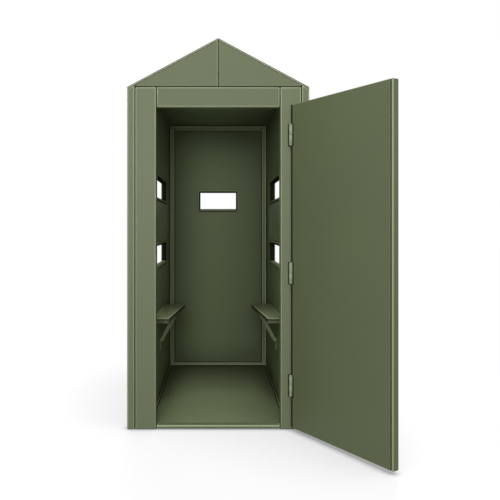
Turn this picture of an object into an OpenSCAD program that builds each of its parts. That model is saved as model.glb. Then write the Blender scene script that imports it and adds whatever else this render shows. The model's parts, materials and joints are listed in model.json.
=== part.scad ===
// Guard booth: a steel cabin with a gable roof, five viewing slots, two wall shelves
// and one hinged door, shown open. Millimetres, +Z up, front towards -Y.

/* [Cabin] */
// Overall width, across the roof and the front frame
cabin_w = 1108; // [1000:2:1400]
// Overall depth, from the front frame to the rear rails
cabin_d = 1770; // [1400:10:2200]
// Height of the front posts, where the gable starts
head_h = 2080; // [2000:10:2500]
// Width from the roof's edge to the outer face of the body's rails
eaves_overhang = 59; // [40:1:90]

/* [Front frame] */
// Width of each front post
post_w = 130; // [110:1:160]
// Depth of the front posts, the lintel and the gable, front to back
frame_t = 50; // [40:1:70]
// Width of the corner tube outside each front post
tube_w = 48; // [30:1:60]
// Height of the lintel over the doorway
lintel_h = 124; // [80:1:160]
// Height of the threshold's underside above the ground
threshold_lift = 5; // [0:1:10]

/* [Roof] */
// Pitch of the roof plates, in degrees
roof_pitch = 28.2; // [22:0.1:36]
// Thickness of the roof plates
roof_t = 10; // [6:1:16]
// Fitting gap between the roof plates and what carries them
roof_fit = 0.015; // [0:0.005:0.1]
// Drop from the post tops to the roof's outer edge
eaves_drop = 1; // [0:1:20]
// Thickness of the ceiling panel
ceiling_t = 12; // [8:1:20]
// Air gap between the ceiling panel and the roof plate at the walls
ceiling_gap = 20; // [4:1:30]

/* [Walls and floor] */
// Thickness of the wall panels
wall_t = 30; // [20:1:40]
// Width of the rails and rear tubes that stand proud of the panels
rail_w = 45; // [30:1:60]
// Height of the base rails
base_rail_h = 60; // [40:1:100]
// Depth of the eaves rails below the post tops
eaves_rail_h = 40; // [25:1:80]
// Length of each rear corner tube along the side wall
rear_tube_d = 90; // [80:1:120]
// Thickness of the floor plate, up from the ground
floor_t = 25; // [15:1:40]
// Gap between the wall tops and the roof plates
wall_top_gap = 3; // [1:1:6]

/* [Viewing slots] */
// Length of the clear opening of each side slot
side_slot_w = 790; // [500:10:900]
// Height of the clear opening of each side slot
side_slot_h = 138; // [90:1:180]
// Sill height of the upper side slots
upper_sill_z = 1434; // [1300:1:1600]
// Sill height of the lower side slots
lower_sill_z = 959; // [750:1:1100]
// Length of the clear opening of the rear slot
rear_slot_w = 310; // [200:10:420]
// Height of the clear opening of the rear slot
rear_slot_h = 140; // [90:1:180]
// Sill height of the rear slot
rear_sill_z = 1386; // [1200:1:1600]
// Thickness of the sleeve that lines each slot
sleeve_t = 5; // [3:1:8]
// Width of the frame's rim on the wall, beyond the clear opening
rim_w = 24; // [15:1:35]
// Thickness of the frame's rim on each face of the wall
rim_t = 6; // [4:1:10]

/* [Inside trim] */
// Leg of the angles in the rear corners and round the ceiling
trim_w = 40; // [25:1:60]
// Leg of the angles round the floor
floor_trim_w = 25; // [15:1:40]
// Width of both trims' legs along the side walls, where they are only a narrow bead
side_trim_w = 12; // [8:1:25]
// Thickness of the angles
trim_t = 5; // [3:1:8]

/* [Shelves] */
// Width of each shelf at its front end, out from the side wall
shelf_front_w = 97; // [70:1:200]
// Width of each shelf at its rear end
shelf_rear_w = 163; // [90:1:220]
// Length of each shelf along the wall
shelf_len = 790; // [700:10:950]
// Thickness of each shelf
shelf_t = 32; // [20:1:45]
// Height of the shelf tops above the ground
shelf_z = 632; // [450:1:850]
// Distance from the front face of the booth to the front ends of the shelves
shelf_front = 290; // [150:5:350]
// Distance from the front face of the booth to the middle of the struts
strut_y = 740; // [500:5:900]
// Width of each strut and its foot plate, along the wall
strut_w = 34; // [24:1:50]
// Drop from the shelf's underside to the middle of the foot plate
strut_drop = 212; // [150:1:300]
// Depth of the strut's section
strut_t = 26; // [16:1:36]
// Height of the foot plate on the wall
foot_h = 78; // [50:1:110]
// Thickness of the foot plate
foot_t = 6; // [4:1:10]

/* [Door] */
// Thickness of the door leaf
door_t = 44; // [30:1:55]
// Height of the leaf's lower edge above the ground
door_lift = 18; // [8:1:24]
// Lap of the leaf over the lintel
door_lap_top = 10; // [6:1:25]
// Lap of the leaf over the post on its free side
door_lap_side = 12; // [6:1:25]
// Gap between the closed leaf and the posts
door_gap = 8; // [6:1:12]
// How far the door stands open, in degrees from closed
door_open = 121; // [0:1:125]

/* [Hinges] */
// Distance from the doorway's side to the hinge axis
hinge_inset = 64; // [50:1:80]
// Outer radius of the hinge barrels
barrel_r = 11; // [9:1:14]
// Radius of the hinge pins
pin_r = 5; // [3:0.5:7]
// Running gap between pin and barrel, all round
pin_gap = 0.08; // [0.05:0.01:0.1]
// Gap between the two halves of a hinge
half_gap = 0.3; // [0.2:0.1:1]
// Length of one hinge, both halves
hinge_len = 127; // [90:1:160]
// Gap between the barrels and the posts
barrel_gap = 1; // [0.5:0.5:3]
// Distance from the hinge axis to the leaf's edge
leaf_gap = 20; // [19:1:26]
// Width of the rubber seal on the leaf's hinge edge
seal_w = 17; // [10:1:18]
// Depth of the seal, front to back
seal_t = 10; // [6:1:16]
// Distance from the leaf's inner face to the seal
seal_inset = 1; // [0:1:4]
// Gap between the ends of the seal's lengths and the hinges
seal_gap = 6; // [5:1:15]
// Height of the middle of the top hinge
top_hinge_z = 1786; // [1500:1:1850]
// Height of the middle of the middle hinge
mid_hinge_z = 949; // [800:1:1200]
// Height of the middle of the bottom hinge
low_hinge_z = 269; // [150:1:400]
// Thickness of the lugs that carry the barrels
lug_t = 8; // [6:1:12]
// Metal left over the top of each blind pin hole
cap_t = 8; // [5:1:12]

/* [Hidden] */

// True curves on the hinge barrels and pins
$fn = 48;

// Places across the booth, measured from its middle plane
half_w = cabin_w / 2;
post_out = half_w - tube_w;
door_half = post_out - post_w;
rail_out = half_w - eaves_overhang;
wall_out = rail_out - rail_w;
wall_in = wall_out - wall_t;

// Places from front to back
front_y = -cabin_d / 2;
frame_y = front_y + frame_t;
rear_y = cabin_d / 2;
back_out = rear_y - rail_w;
back_in = back_out - wall_t;
rear_tube_y = rear_y - rear_tube_d;
room_mid_y = (frame_y + back_in) / 2;

// Heights
eaves_z = head_h - eaves_drop;
apex_z = eaves_z + half_w * tan(roof_pitch);
wall_top = roof_under(wall_out) - wall_top_gap;
ceiling_z = roof_under(wall_in) - ceiling_gap - ceiling_t;
lintel_z = head_h - lintel_h;

// Hinge axis and door leaf
hinge_x = door_half + hinge_inset;
hinge_y = front_y - barrel_gap - barrel_r;
half_len = (hinge_len - half_gap) / 2;
door_w = hinge_x - leaf_gap + door_half + door_lap_side;
door_h = lintel_z + door_lap_top - door_lift;
door_in = front_y - door_gap - hinge_y;

// Paint: the front frame is lighter than the inside and the door
frame_paint = [0.44, 0.49, 0.38];
body_paint = [0.40, 0.45, 0.34];
inside_paint = [0.36, 0.40, 0.30];
door_paint = [0.38, 0.42, 0.31];
hinge_paint = [0.47, 0.52, 0.42];
seal_rubber = [0.06, 0.06, 0.05];

// Width of a shelf at a distance y from the front face
function shelf_reach(y) =
    shelf_front_w + (shelf_rear_w - shelf_front_w) * (y - shelf_front) / shelf_len;

// Height of the roof plate's underside at a distance x from the middle
function roof_under(x) = apex_z - roof_t / cos(roof_pitch) - x * tan(roof_pitch);

// A box given by its low and high corner
module block(low, high) {
    translate(low) cube(high - low);
}

// A profile drawn in X and Z, run from y0 to y1
module run_y(y0, y1) {
    translate([0, y1, 0]) rotate([90, 0, 0]) linear_extrude(y1 - y0) children();
}

// Puts a right-hand piece on the left
module left() {
    mirror([1, 0, 0]) children();
}

// An upright section from x0 to x1 that ends at the roof plate's underside
module under_roof(x0, x1, z0, y0, y1) {
    run_y(y0, y1)
        polygon([[x0, z0], [x1, z0], [x1, roof_under(x1)], [x0, roof_under(x0)]]);
}

// Frame of a slot in a wall that spans 0 to wall_t along Y, centred on X, sill at Z 0
module slot_frame(w, h) {
    difference() {
        union() {
            block([-w / 2 - rim_w, -rim_t, -rim_w], [w / 2 + rim_w, 0, h + rim_w]);
            block([-w / 2 - sleeve_t, -rim_t, -sleeve_t], [w / 2 + sleeve_t, wall_t + rim_t, h + sleeve_t]);
            block([-w / 2 - rim_w, wall_t, -rim_w], [w / 2 + rim_w, wall_t + rim_t, h + rim_w]);
        }
        block([-w / 2, -2 * rim_t, 0], [w / 2, wall_t + 2 * rim_t, h]);
    }
}

// Cut for that frame's sleeve
module slot_cut(w, h) {
    block([-w / 2 - sleeve_t, -wall_t, -sleeve_t], [w / 2 + sleeve_t, 2 * wall_t, h + sleeve_t]);
}

// Places a slot in the rear wall, or in the right-hand wall at a sill height
module at_rear() {
    translate([0, back_in, rear_sill_z]) children();
}
module at_side(sill_z) {
    translate([wall_in, room_mid_y, sill_z]) rotate([0, 0, -90]) children();
}

module floor_plate() {
    color(inside_paint) block([-wall_in, frame_y, 0], [wall_in, back_in, floor_t]);
}

module threshold() {
    color(frame_paint) block([-door_half, front_y, threshold_lift], [door_half, frame_y, floor_t]);
}

module side_wall() {
    difference() {
        block([wall_in, frame_y, 0], [wall_out, back_out, wall_top]);
        for (sill_z = [upper_sill_z, lower_sill_z])
            at_side(sill_z) slot_cut(side_slot_w, side_slot_h);
    }
}

module left_wall() {
    color(body_paint) left() side_wall();
}

module right_wall() {
    color(body_paint) side_wall();
}

module back_wall() {
    color(body_paint) difference() {
        block([-wall_in, back_in, 0], [wall_in, back_out, wall_top]);
        at_rear() slot_cut(rear_slot_w, rear_slot_h);
    }
}

module post() {
    block([door_half, front_y, 0], [post_out, frame_y, head_h]);
}

module left_post() {
    color(frame_paint) left() post();
}

module right_post() {
    color(frame_paint) post();
}

module lintel() {
    color(frame_paint) block([-door_half, front_y, lintel_z], [door_half, frame_y, head_h]);
}

module front_tube() {
    under_roof(post_out, half_w, 0, front_y, frame_y);
}

module front_left_tube() {
    color(frame_paint) left() front_tube();
}

module front_right_tube() {
    color(frame_paint) front_tube();
}

module rear_tube() {
    under_roof(wall_out, rail_out, 0, rear_tube_y, rear_y);
}

module rear_left_tube() {
    color(frame_paint) left() rear_tube();
}

module rear_right_tube() {
    color(frame_paint) rear_tube();
}

module side_base_rail() {
    block([wall_out, frame_y, 0], [rail_out, rear_tube_y, base_rail_h]);
}

module left_base_rail() {
    color(frame_paint) left() side_base_rail();
}

module right_base_rail() {
    color(frame_paint) side_base_rail();
}

module rear_base_rail() {
    color(frame_paint) block([-wall_out, back_out, 0], [wall_out, rear_y, base_rail_h]);
}

module side_eaves_rail() {
    under_roof(wall_out, rail_out, head_h - eaves_rail_h, frame_y, rear_tube_y);
}

module left_eaves_rail() {
    color(frame_paint) left() side_eaves_rail();
}

module right_eaves_rail() {
    color(frame_paint) side_eaves_rail();
}

module rear_eaves_rail() {
    color(frame_paint)
        block([-wall_out, back_out, head_h - eaves_rail_h], [wall_out, rear_y, head_h]);
}

module front_gable() {
    under_roof(0, post_out, head_h, front_y, frame_y);
}

module front_left_gable() {
    color(frame_paint) left() front_gable();
}

module front_right_gable() {
    color(frame_paint) front_gable();
}

module rear_gable() {
    under_roof(0, wall_out, head_h, back_out, rear_y);
}

module rear_left_gable() {
    color(body_paint) left() rear_gable();
}

module rear_right_gable() {
    color(body_paint) rear_gable();
}

module roof_plate() {
    run_y(front_y, rear_y)
        polygon([[0, roof_under(0) + roof_fit], [half_w, roof_under(half_w) + roof_fit],
                 [half_w, eaves_z], [0, apex_z]]);
}

module left_roof_plate() {
    color(frame_paint) left() roof_plate();
}

module right_roof_plate() {
    color(frame_paint) roof_plate();
}

module ceiling_panel() {
    color(inside_paint) block([-wall_in, frame_y, ceiling_z], [wall_in, back_in, ceiling_z + ceiling_t]);
}

// Angles in both rear corners: the leg on the rear wall stops at the wide rear trims,
// and the leg on the side wall at the narrow side trims
module corner_trims() {
    color(inside_paint) for (side = [0, 1]) mirror([side, 0, 0]) {
        block([wall_in - trim_t, back_in - trim_w, floor_t + side_trim_w],
              [wall_in, back_in - trim_t, ceiling_z - side_trim_w]);
        block([wall_in - trim_w, back_in - trim_t, floor_t + floor_trim_w],
              [wall_in, back_in, ceiling_z - trim_w]);
    }
}

// From height z, up or down by a distance, as [lower, upper]
function span_z(z, distance, up) = up ? [z, z + distance] : [z - distance, z];

// An angle that follows the side and rear walls at height z. Along the rear wall its
// legs are leg wide, and along the side walls side_trim_w.
module wall_angle(z, leg, up) {
    flat_z = span_z(z, trim_t, up);
    side_z = span_z(z, side_trim_w, up);
    rear_z = span_z(z, leg, up);
    for (side = [0, 1]) mirror([side, 0, 0]) {
        block([wall_in - trim_t, frame_y, side_z[0]], [wall_in, back_in, side_z[1]]);
        block([wall_in - side_trim_w, frame_y, flat_z[0]], [wall_in, back_in, flat_z[1]]);
    }
    block([-wall_in, back_in - trim_t, rear_z[0]], [wall_in, back_in, rear_z[1]]);
    block([-wall_in, back_in - leg, flat_z[0]], [wall_in, back_in, flat_z[1]]);
}

module ceiling_trim() {
    color(inside_paint) wall_angle(ceiling_z, trim_w, false);
}

module floor_trim() {
    color(inside_paint) wall_angle(floor_t, floor_trim_w, true);
}

module rear_slot_frame() {
    color(frame_paint) at_rear() slot_frame(rear_slot_w, rear_slot_h);
}

module side_slot_frame(sill_z) {
    at_side(sill_z) mirror([0, 1, 0]) translate([0, -wall_t, 0]) slot_frame(side_slot_w, side_slot_h);
}

module left_upper_slot_frame() {
    color(frame_paint) left() side_slot_frame(upper_sill_z);
}

module left_lower_slot_frame() {
    color(frame_paint) left() side_slot_frame(lower_sill_z);
}

module right_upper_slot_frame() {
    color(frame_paint) side_slot_frame(upper_sill_z);
}

module right_lower_slot_frame() {
    color(frame_paint) side_slot_frame(lower_sill_z);
}

// Shelf board, which widens towards its rear end
module shelf() {
    front_end = front_y + shelf_front;
    rear_end = front_end + shelf_len;
    translate([0, 0, shelf_z - shelf_t]) linear_extrude(shelf_t)
        polygon([[wall_in, front_end], [wall_in, rear_end],
                 [wall_in - shelf_rear_w, rear_end], [wall_in - shelf_front_w, front_end]]);
}

module left_shelf() {
    color(inside_paint) left() shelf();
}

module right_shelf() {
    color(inside_paint) shelf();
}

// Diagonal strut under a shelf, with its foot plate on the wall
module strut() {
    seat_z = shelf_z - shelf_t;
    foot_z = seat_z - strut_drop;
    edge_x = wall_in - shelf_reach(strut_y - strut_w / 2) + foot_t;
    foot_x = wall_in - foot_t;
    mid_y = front_y + strut_y;
    foot_low = foot_z - foot_h / 2;
    run_y(mid_y - strut_w / 2, mid_y + strut_w / 2)
        polygon([[edge_x, seat_z], [edge_x + strut_t, seat_z], [foot_x, foot_z + strut_t],
                 [foot_x, foot_low + foot_h], [wall_in, foot_low + foot_h],
                 [wall_in, foot_low], [foot_x, foot_low], [foot_x, foot_z - strut_t / 2]]);
}

module left_strut() {
    color(inside_paint) left() strut();
}

module right_strut() {
    color(inside_paint) strut();
}

// Lower half of a hinge: barrel and pin on a lug welded to the post
module hinge_seat(mid_z) {
    low_z = mid_z - hinge_len / 2;
    color(hinge_paint) translate([hinge_x, hinge_y, low_z]) {
        cylinder(r = barrel_r, h = half_len);
        cylinder(r = pin_r, h = hinge_len - 2 * cap_t);
        block([-lug_t, 0, 0], [lug_t, front_y - hinge_y, half_len]);
    }
}

module top_hinge_seat() { hinge_seat(top_hinge_z); }
module middle_hinge_seat() { hinge_seat(mid_hinge_z); }
module bottom_hinge_seat() { hinge_seat(low_hinge_z); }

// Turns closed-door pieces, drawn round the hinge axis, to where the door stands open
module swung() {
    translate([hinge_x, hinge_y, 0]) rotate([0, 0, door_open]) children();
}

// Upper half of a hinge: barrel with a blind pin hole, on a lug welded to the leaf's edge
module hinge_knuckle(mid_z) {
    color(hinge_paint) swung() translate([0, 0, mid_z + half_gap / 2]) difference() {
        union() {
            cylinder(r = barrel_r, h = half_len);
            block([-leaf_gap, -lug_t / 2, 0], [0, lug_t / 2, half_len]);
        }
        translate([0, 0, -cap_t]) cylinder(r = pin_r + pin_gap, h = half_len);
    }
}

module top_hinge_knuckle() { hinge_knuckle(top_hinge_z); }
module middle_hinge_knuckle() { hinge_knuckle(mid_hinge_z); }
module bottom_hinge_knuckle() { hinge_knuckle(low_hinge_z); }

module door_leaf() {
    color(door_paint) swung()
        block([-leaf_gap - door_w, door_in - door_t, door_lift], [-leaf_gap, door_in, door_lift + door_h]);
}

// Rubber seal on the leaf's hinge edge, in lengths that stop at the hinges
module door_seal() {
    reach = hinge_len / 2 + seal_gap;
    ends = [door_lift, low_hinge_z - reach, low_hinge_z + reach, mid_hinge_z - reach,
            mid_hinge_z + reach, top_hinge_z - reach, top_hinge_z + reach, door_lift + door_h];
    seal_in = door_in - seal_inset;
    color(seal_rubber) swung() for (i = [0 : 2 : len(ends) - 2])
        block([-leaf_gap, seal_in - seal_t, ends[i]], [-leaf_gap + seal_w, seal_in, ends[i + 1]]);
}

floor_plate();
threshold();
left_wall();
right_wall();
back_wall();
left_post();
right_post();
lintel();
front_left_tube();
front_right_tube();
rear_left_tube();
rear_right_tube();
left_base_rail();
right_base_rail();
rear_base_rail();
left_eaves_rail();
right_eaves_rail();
rear_eaves_rail();
front_left_gable();
front_right_gable();
rear_left_gable();
rear_right_gable();
left_roof_plate();
right_roof_plate();
ceiling_panel();
corner_trims();
ceiling_trim();
floor_trim();
rear_slot_frame();
left_upper_slot_frame();
left_lower_slot_frame();
right_upper_slot_frame();
right_lower_slot_frame();
left_shelf();
right_shelf();
left_strut();
right_strut();
top_hinge_seat();
middle_hinge_seat();
bottom_hinge_seat();
top_hinge_knuckle();
middle_hinge_knuckle();
bottom_hinge_knuckle();
door_leaf();
door_seal();
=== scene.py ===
# %% [markdown]
# # A steel guard booth, finished in Blender
# The booth's construction comes from a imported CAD frame: every plate, rail, angle and hinge half is
# already at its real size and in its real place. This lesson adds what the eye looks for: folded
# edges that catch the light and carry painted highlights, seams painted dark as shade, weld beads,
# sealant, turned hinge barrels and a satin olive paint whose tone differs from plate to plate, partly
# as painted light.

import json
import math

import bmesh
import bpy
from mathutils import Matrix, Vector
from mathutils.bvhtree import BVHTree


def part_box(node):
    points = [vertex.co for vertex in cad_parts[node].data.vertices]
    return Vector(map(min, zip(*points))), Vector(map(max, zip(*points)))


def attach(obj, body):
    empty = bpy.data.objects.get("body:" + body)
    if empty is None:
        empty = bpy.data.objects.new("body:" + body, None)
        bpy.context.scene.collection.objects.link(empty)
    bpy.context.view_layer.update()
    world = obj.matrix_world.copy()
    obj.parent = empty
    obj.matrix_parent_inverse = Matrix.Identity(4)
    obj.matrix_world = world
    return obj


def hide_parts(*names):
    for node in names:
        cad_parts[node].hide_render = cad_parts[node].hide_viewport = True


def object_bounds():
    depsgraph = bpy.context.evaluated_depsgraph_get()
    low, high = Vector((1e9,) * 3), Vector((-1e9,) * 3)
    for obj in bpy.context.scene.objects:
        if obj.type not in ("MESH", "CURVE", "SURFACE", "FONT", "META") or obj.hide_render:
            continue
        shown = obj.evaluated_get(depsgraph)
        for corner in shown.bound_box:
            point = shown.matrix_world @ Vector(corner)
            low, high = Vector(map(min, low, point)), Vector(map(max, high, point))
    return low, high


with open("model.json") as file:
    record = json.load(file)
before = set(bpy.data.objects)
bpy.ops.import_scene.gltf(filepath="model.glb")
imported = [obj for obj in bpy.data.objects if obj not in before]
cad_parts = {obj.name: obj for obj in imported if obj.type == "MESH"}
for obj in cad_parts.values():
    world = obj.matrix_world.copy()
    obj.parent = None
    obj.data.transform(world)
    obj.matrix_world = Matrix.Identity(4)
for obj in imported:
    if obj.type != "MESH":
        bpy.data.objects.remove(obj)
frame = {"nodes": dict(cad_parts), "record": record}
cad_low, cad_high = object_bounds()
record = frame["record"]
mm = 0.001
print("CAD box:", [round(v, 3) for v in (*cad_low, *cad_high)])

# %% [markdown]
# ## Who carries what
# Each CAD node belongs to a body, either the standing booth or the swinging door, and to a material
# slot. Two small dictionaries answer both questions for every piece made below.

# %% Bodies and slots
body_of = {node: body for body, nodes in record["behaviour"]["bodies"].items() for node in nodes}
slot_of = {part["node"]: part["material_slot"] for part in record["subparts"]}
print(len(body_of), "nodes on", sorted(set(body_of.values())))

# %% [markdown]
# ## Camera
# The booth is seen straight from the front at chest height, so its front stays a true rectangle and
# only the room and the open door show depth. A camera that looks exactly along +Y does that. A small
# lens shift, in place of a turn, leaves room for the door on the right.

# %% Make the camera
front_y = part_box("right_post")[0].y
eye_height = 1.2286
eye_distance = 3.885
focal_in_frame_widths = 1.28
camera_data = bpy.data.cameras.new("camera")
camera_data.sensor_width = 36
camera_data.lens = camera_data.sensor_width * focal_in_frame_widths
camera_data.shift_x = 0.0636
camera_data.shift_y = -0.046
camera = bpy.data.objects.new("camera", camera_data)
camera.location = (0, front_y - eye_distance, eye_height)
camera.rotation_euler = (math.radians(90), 0, 0)
bpy.context.scene.collection.objects.link(camera)
bpy.context.scene.camera = camera
bpy.context.scene.view_settings.view_transform = "Standard"
print("lens", round(camera_data.lens, 2), "mm,", eye_distance, "m from the front")

# %% [markdown]
# ## Helpers for node graphs
# Materials and Geometry Nodes are both graphs. The first helper adds one node, sets its plain inputs
# and links the others, so that every graph below reads like a recipe from top to bottom.

# %% Helpers for graphs
def add_node(tree, kind, inputs=None, **settings):
    node = tree.nodes.new(kind)
    for name, value in settings.items():
        setattr(node, name, value)
    for key, value in (inputs or {}).items():
        if isinstance(value, bpy.types.NodeSocket):
            tree.links.new(value, node.inputs[key])
        else:
            node.inputs[key].default_value = value
    return node


def remapped(tree, value, low, high, new_low, new_high):
    """Carries the span from low to high over to another span, and stops at its ends."""
    return add_node(tree, "ShaderNodeMapRange",
                    {0: value, 1: low, 2: high, 3: new_low, 4: new_high}).outputs[0]


def new_material(name):
    material = bpy.data.materials.new(name)
    material.use_nodes = True
    material.node_tree.nodes.clear()
    return material


def srgb(red, green, blue):
    """A paint-card colour, 0 to 255, as the linear colour that shaders take."""
    def linear(c):
        c = c / 255
        return c / 12.92 if c <= 0.04045 else ((c + 0.055) / 1.055) ** 2.4
    return (linear(red), linear(green), linear(blue), 1)

# %% [markdown]
# ## Studio
# A studio's white sweep: white to the camera and in reflections, but with only a modest light
# of its own on the booth. A surface that glows white hides every shadow, so ambient occlusion, which
# measures how much of a point's view is blocked, darkens it again: once widely round the booth, and
# once close to where the booth stands. A trace of gloss adds a faint blurred image of the booth.

# %% Light the world
def seen_directly(tree):
    """1 for the rays that look at a surface, 0 for those that carry its light to others."""
    path = add_node(tree, "ShaderNodeLightPath").outputs
    sharp = add_node(tree, "ShaderNodeMath", {0: path["Is Camera Ray"], 1: path["Is Glossy Ray"]},
                     operation="MAXIMUM")
    clear = add_node(tree, "ShaderNodeMath", {0: sharp.outputs[0], 1: path["Is Transmission Ray"]},
                     operation="MAXIMUM")
    return clear.outputs[0]


white = (1, 1, 1, 1)
world_level = 0.45
world = bpy.data.worlds.new("studio")
bpy.context.scene.world = world
world.use_nodes = True
tree = world.node_tree
tree.nodes.clear()
room_light = add_node(tree, "ShaderNodeBackground", {"Color": white, "Strength": world_level})
backdrop = add_node(tree, "ShaderNodeBackground", {"Color": white, "Strength": 1.0})
world_mix = add_node(tree, "ShaderNodeMixShader", {0: seen_directly(tree), 1: room_light.outputs[0],
                                                   2: backdrop.outputs[0]})
add_node(tree, "ShaderNodeOutputWorld", {0: world_mix.outputs[0]})
print("world level", world_level)

# %% Paint the floor
def shade_within(tree, distance, blocked, clear, darkest):
    """1 where a point's view is clear, down to darkest where pieces within the distance block it."""
    view = add_node(tree, "ShaderNodeAmbientOcclusion", {"Distance": distance}, samples=8).outputs["AO"]
    return remapped(tree, view, blocked, clear, darkest, 1.0)


floor_grey = (0.55, 0.55, 0.55, 1)
floor_gloss = 0.03
floor_paint = new_material("studio_floor")
tree = floor_paint.node_tree
matt = add_node(tree, "ShaderNodeBsdfDiffuse", {"Color": floor_grey})
wide = shade_within(tree, 1.2, blocked=0.4, clear=0.86, darkest=0.76)
close = shade_within(tree, 0.05, blocked=0.25, clear=0.95, darkest=0.4)
level = add_node(tree, "ShaderNodeMath", {0: wide, 1: close}, operation="MULTIPLY").outputs[0]
glow = add_node(tree, "ShaderNodeEmission", {"Color": white, "Strength": level})
shine = add_node(tree, "ShaderNodeBsdfGlossy", {"Color": white, "Roughness": 0.3})
seen = add_node(tree, "ShaderNodeMixShader", {0: floor_gloss, 1: glow.outputs[0], 2: shine.outputs[0]})
floor_mix = add_node(tree, "ShaderNodeMixShader", {0: seen_directly(tree), 1: matt.outputs[0],
                                                   2: seen.outputs[0]})
add_node(tree, "ShaderNodeOutputMaterial", {0: floor_mix.outputs[0]})
print("floor gloss", floor_gloss)

# %% Lay the floor
floor_reach = 40
corners = [(x, y, 0) for x, y in ((-1, -1), (1, -1), (1, 1), (-1, 1))]
floor_mesh = bpy.data.meshes.new("studio_floor")
floor_mesh.from_pydata([Vector(c) * floor_reach for c in corners], [], [(0, 1, 2, 3)])
studio_floor = bpy.data.objects.new("studio_floor", floor_mesh)
studio_floor.data.materials.append(floor_paint)
studio_floor.location.z = cad_low.z - 0.5 * mm
bpy.context.scene.collection.objects.link(studio_floor)
print("floor", 2 * floor_reach, "m square")

# %% [markdown]
# ## Lamps
# A lamp's power says little about how bright a wall gets, because distance matters too. Here each
# lamp is given by its level: level 1 alone would show a paint facing it at its written colour. The
# high lamp does most of the work and reaches the floor inside, the front one stands lower and
# further back, so it reaches the rear wall through the doorway, and four weak ones keep the other
# sides readable.

# %% Place the lamps
booth_middle = Vector((0, 0, 1.2))


def add_lamp(name, place, size, level):
    way = booth_middle - Vector(place)
    data = bpy.data.lights.new(name, "AREA")
    data.shape = "DISK"
    data.size = size
    data.energy = level * math.pi ** 2 * way.length_squared
    lamp = bpy.data.objects.new(name, data)
    lamp.location = place
    lamp.rotation_euler = way.to_track_quat("-Z", "Y").to_euler()
    lamp.visible_camera = False
    bpy.context.scene.collection.objects.link(lamp)
    print(name, "lamp:", round(data.energy), "W")


add_lamp("front", (-0.4, -6.9, 2.0), size=2.4, level=0.28)
add_lamp("high", (-0.1, -3.4, 6.4), size=2.0, level=0.48)
add_lamp("left", (-5.5, -1.5, 2.6), size=2.4, level=0.05)
add_lamp("right", (5.5, -1.5, 2.6), size=2.4, level=0.06)
add_lamp("rear_left", (-3.6, 5.4, 3.6), size=2.4, level=0.19)
add_lamp("rear_right", (3.6, 5.4, 3.6), size=2.4, level=0.10)

# %% [markdown]
# ## Satin olive paint
# Sprayed paint on sheet steel isn't one flat colour. The tone drifts slowly where the coats differ,
# a fine orange peel breaks up the shine, and the roughness wanders a little. All three are noise in
# Object coordinates, so they keep their real size in metres. Three marks that the pieces carry on
# their points steer the rest, and all three are painted light: "fold" is 1 on a rounded edge, which
# is painted pale as a highlight, "seam" is 1 deep in a joint, which is painted dark as shade and
# gets no shine, and "corner" is 1 where shade is painted into the room's corners.

# %% Helpers for paint
def noise(tree, where, scale, detail):
    return add_node(tree, "ShaderNodeTexNoise",
                    {"Vector": where, "Scale": scale, "Detail": detail}).outputs[0]


def bumped(tree, height, strength, distance, normal=None):
    inputs = {"Height": height, "Strength": strength, "Distance": distance}
    if normal:
        inputs["Normal"] = normal
    return add_node(tree, "ShaderNodeBump", inputs).outputs[0]


def mark(tree, name):
    return add_node(tree, "ShaderNodeAttribute", attribute_name=name).outputs["Fac"]


def mixed(tree, factor, first, second):
    return add_node(tree, "ShaderNodeMix", {0: factor, 6: first, 7: second}, data_type="RGBA").outputs[2]


def scaled(tree, value, factor):
    return add_node(tree, "ShaderNodeMath", {0: value, 1: factor}, operation="MULTIPLY").outputs[0]


def tinted(colour, gain):
    return tuple(c * gain for c in colour[:3]) + (1,)

# %% Recipe for the olive paint
# Painted highlight on folds, painted shade in seams and in corners.
highlight_colour = srgb(184, 197, 160)
seam_shade_colour = srgb(12, 14, 8)
joint_cover = 0.97
corner_cover = 0.5
corner_tone = 0.15
streak_tone = 0.4


def olive_tone(tree, where, cloud, colour, drift, highlight_gain, streaks):
    """The paint's colour: its drift and streaks, then the three marks over each other: painted shade in
    corners, a painted highlight on folds and painted shade in seams.
    """
    tone = mixed(tree, cloud, tinted(colour, 1 - drift), tinted(colour, 1 + drift))
    if streaks:
        drawn_out = add_node(tree, "ShaderNodeMapping", {"Vector": where, "Scale": (1.2, 70, 70)})
        lines = noise(tree, drawn_out.outputs[0], 1.0, 3.0)
        tone = mixed(tree, scaled(tree, lines, streaks), tone, tinted(colour, streak_tone))
    # Painted shade in corners, then a painted highlight on folds, then painted shade in seams.
    shade = scaled(tree, mark(tree, "corner"), corner_cover)
    tone = mixed(tree, shade, tone, tinted(colour, corner_tone))
    tone = mixed(tree, scaled(tree, mark(tree, "fold"), highlight_gain), tone, highlight_colour)
    return mixed(tree, scaled(tree, mark(tree, "seam"), joint_cover), tone, seam_shade_colour)


def olive_paint(name, colour, roughness=0.48, drift=0.07, highlight_gain=0.6, streaks=0.0, shine=0.25):
    """Satin paint, with a painted highlight on folds whose paleness is an argument; streaks run along X, as
    on a rolled plate.
    """
    material = new_material(name)
    tree = material.node_tree
    where = add_node(tree, "ShaderNodeTexCoord").outputs["Object"]
    cloud = noise(tree, where, 3.1, 4.0)
    tone = olive_tone(tree, where, cloud, colour, drift, highlight_gain, streaks)
    gloss = remapped(tree, cloud, 0.3, 0.7, roughness - 0.05, roughness + 0.05)
    waved = bumped(tree, noise(tree, where, 5.0, 1.0), 0.25, 4 * mm)
    peeled = bumped(tree, noise(tree, where, 240.0, 2.0), 0.14, 0.6 * mm, waved)
    # Seams painted as shade get no shine either.
    open_air = add_node(tree, "ShaderNodeMath", {0: 1.0, 1: mark(tree, "seam")}, operation="SUBTRACT")
    specular = scaled(tree, open_air.outputs[0], shine)
    shader = add_node(tree, "ShaderNodeBsdfPrincipled", {"Base Color": tone, "Roughness": gloss,
                                                         "Normal": peeled, "Specular IOR Level": specular})
    add_node(tree, "ShaderNodeOutputMaterial", {0: shader.outputs[0]})
    return material

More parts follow.
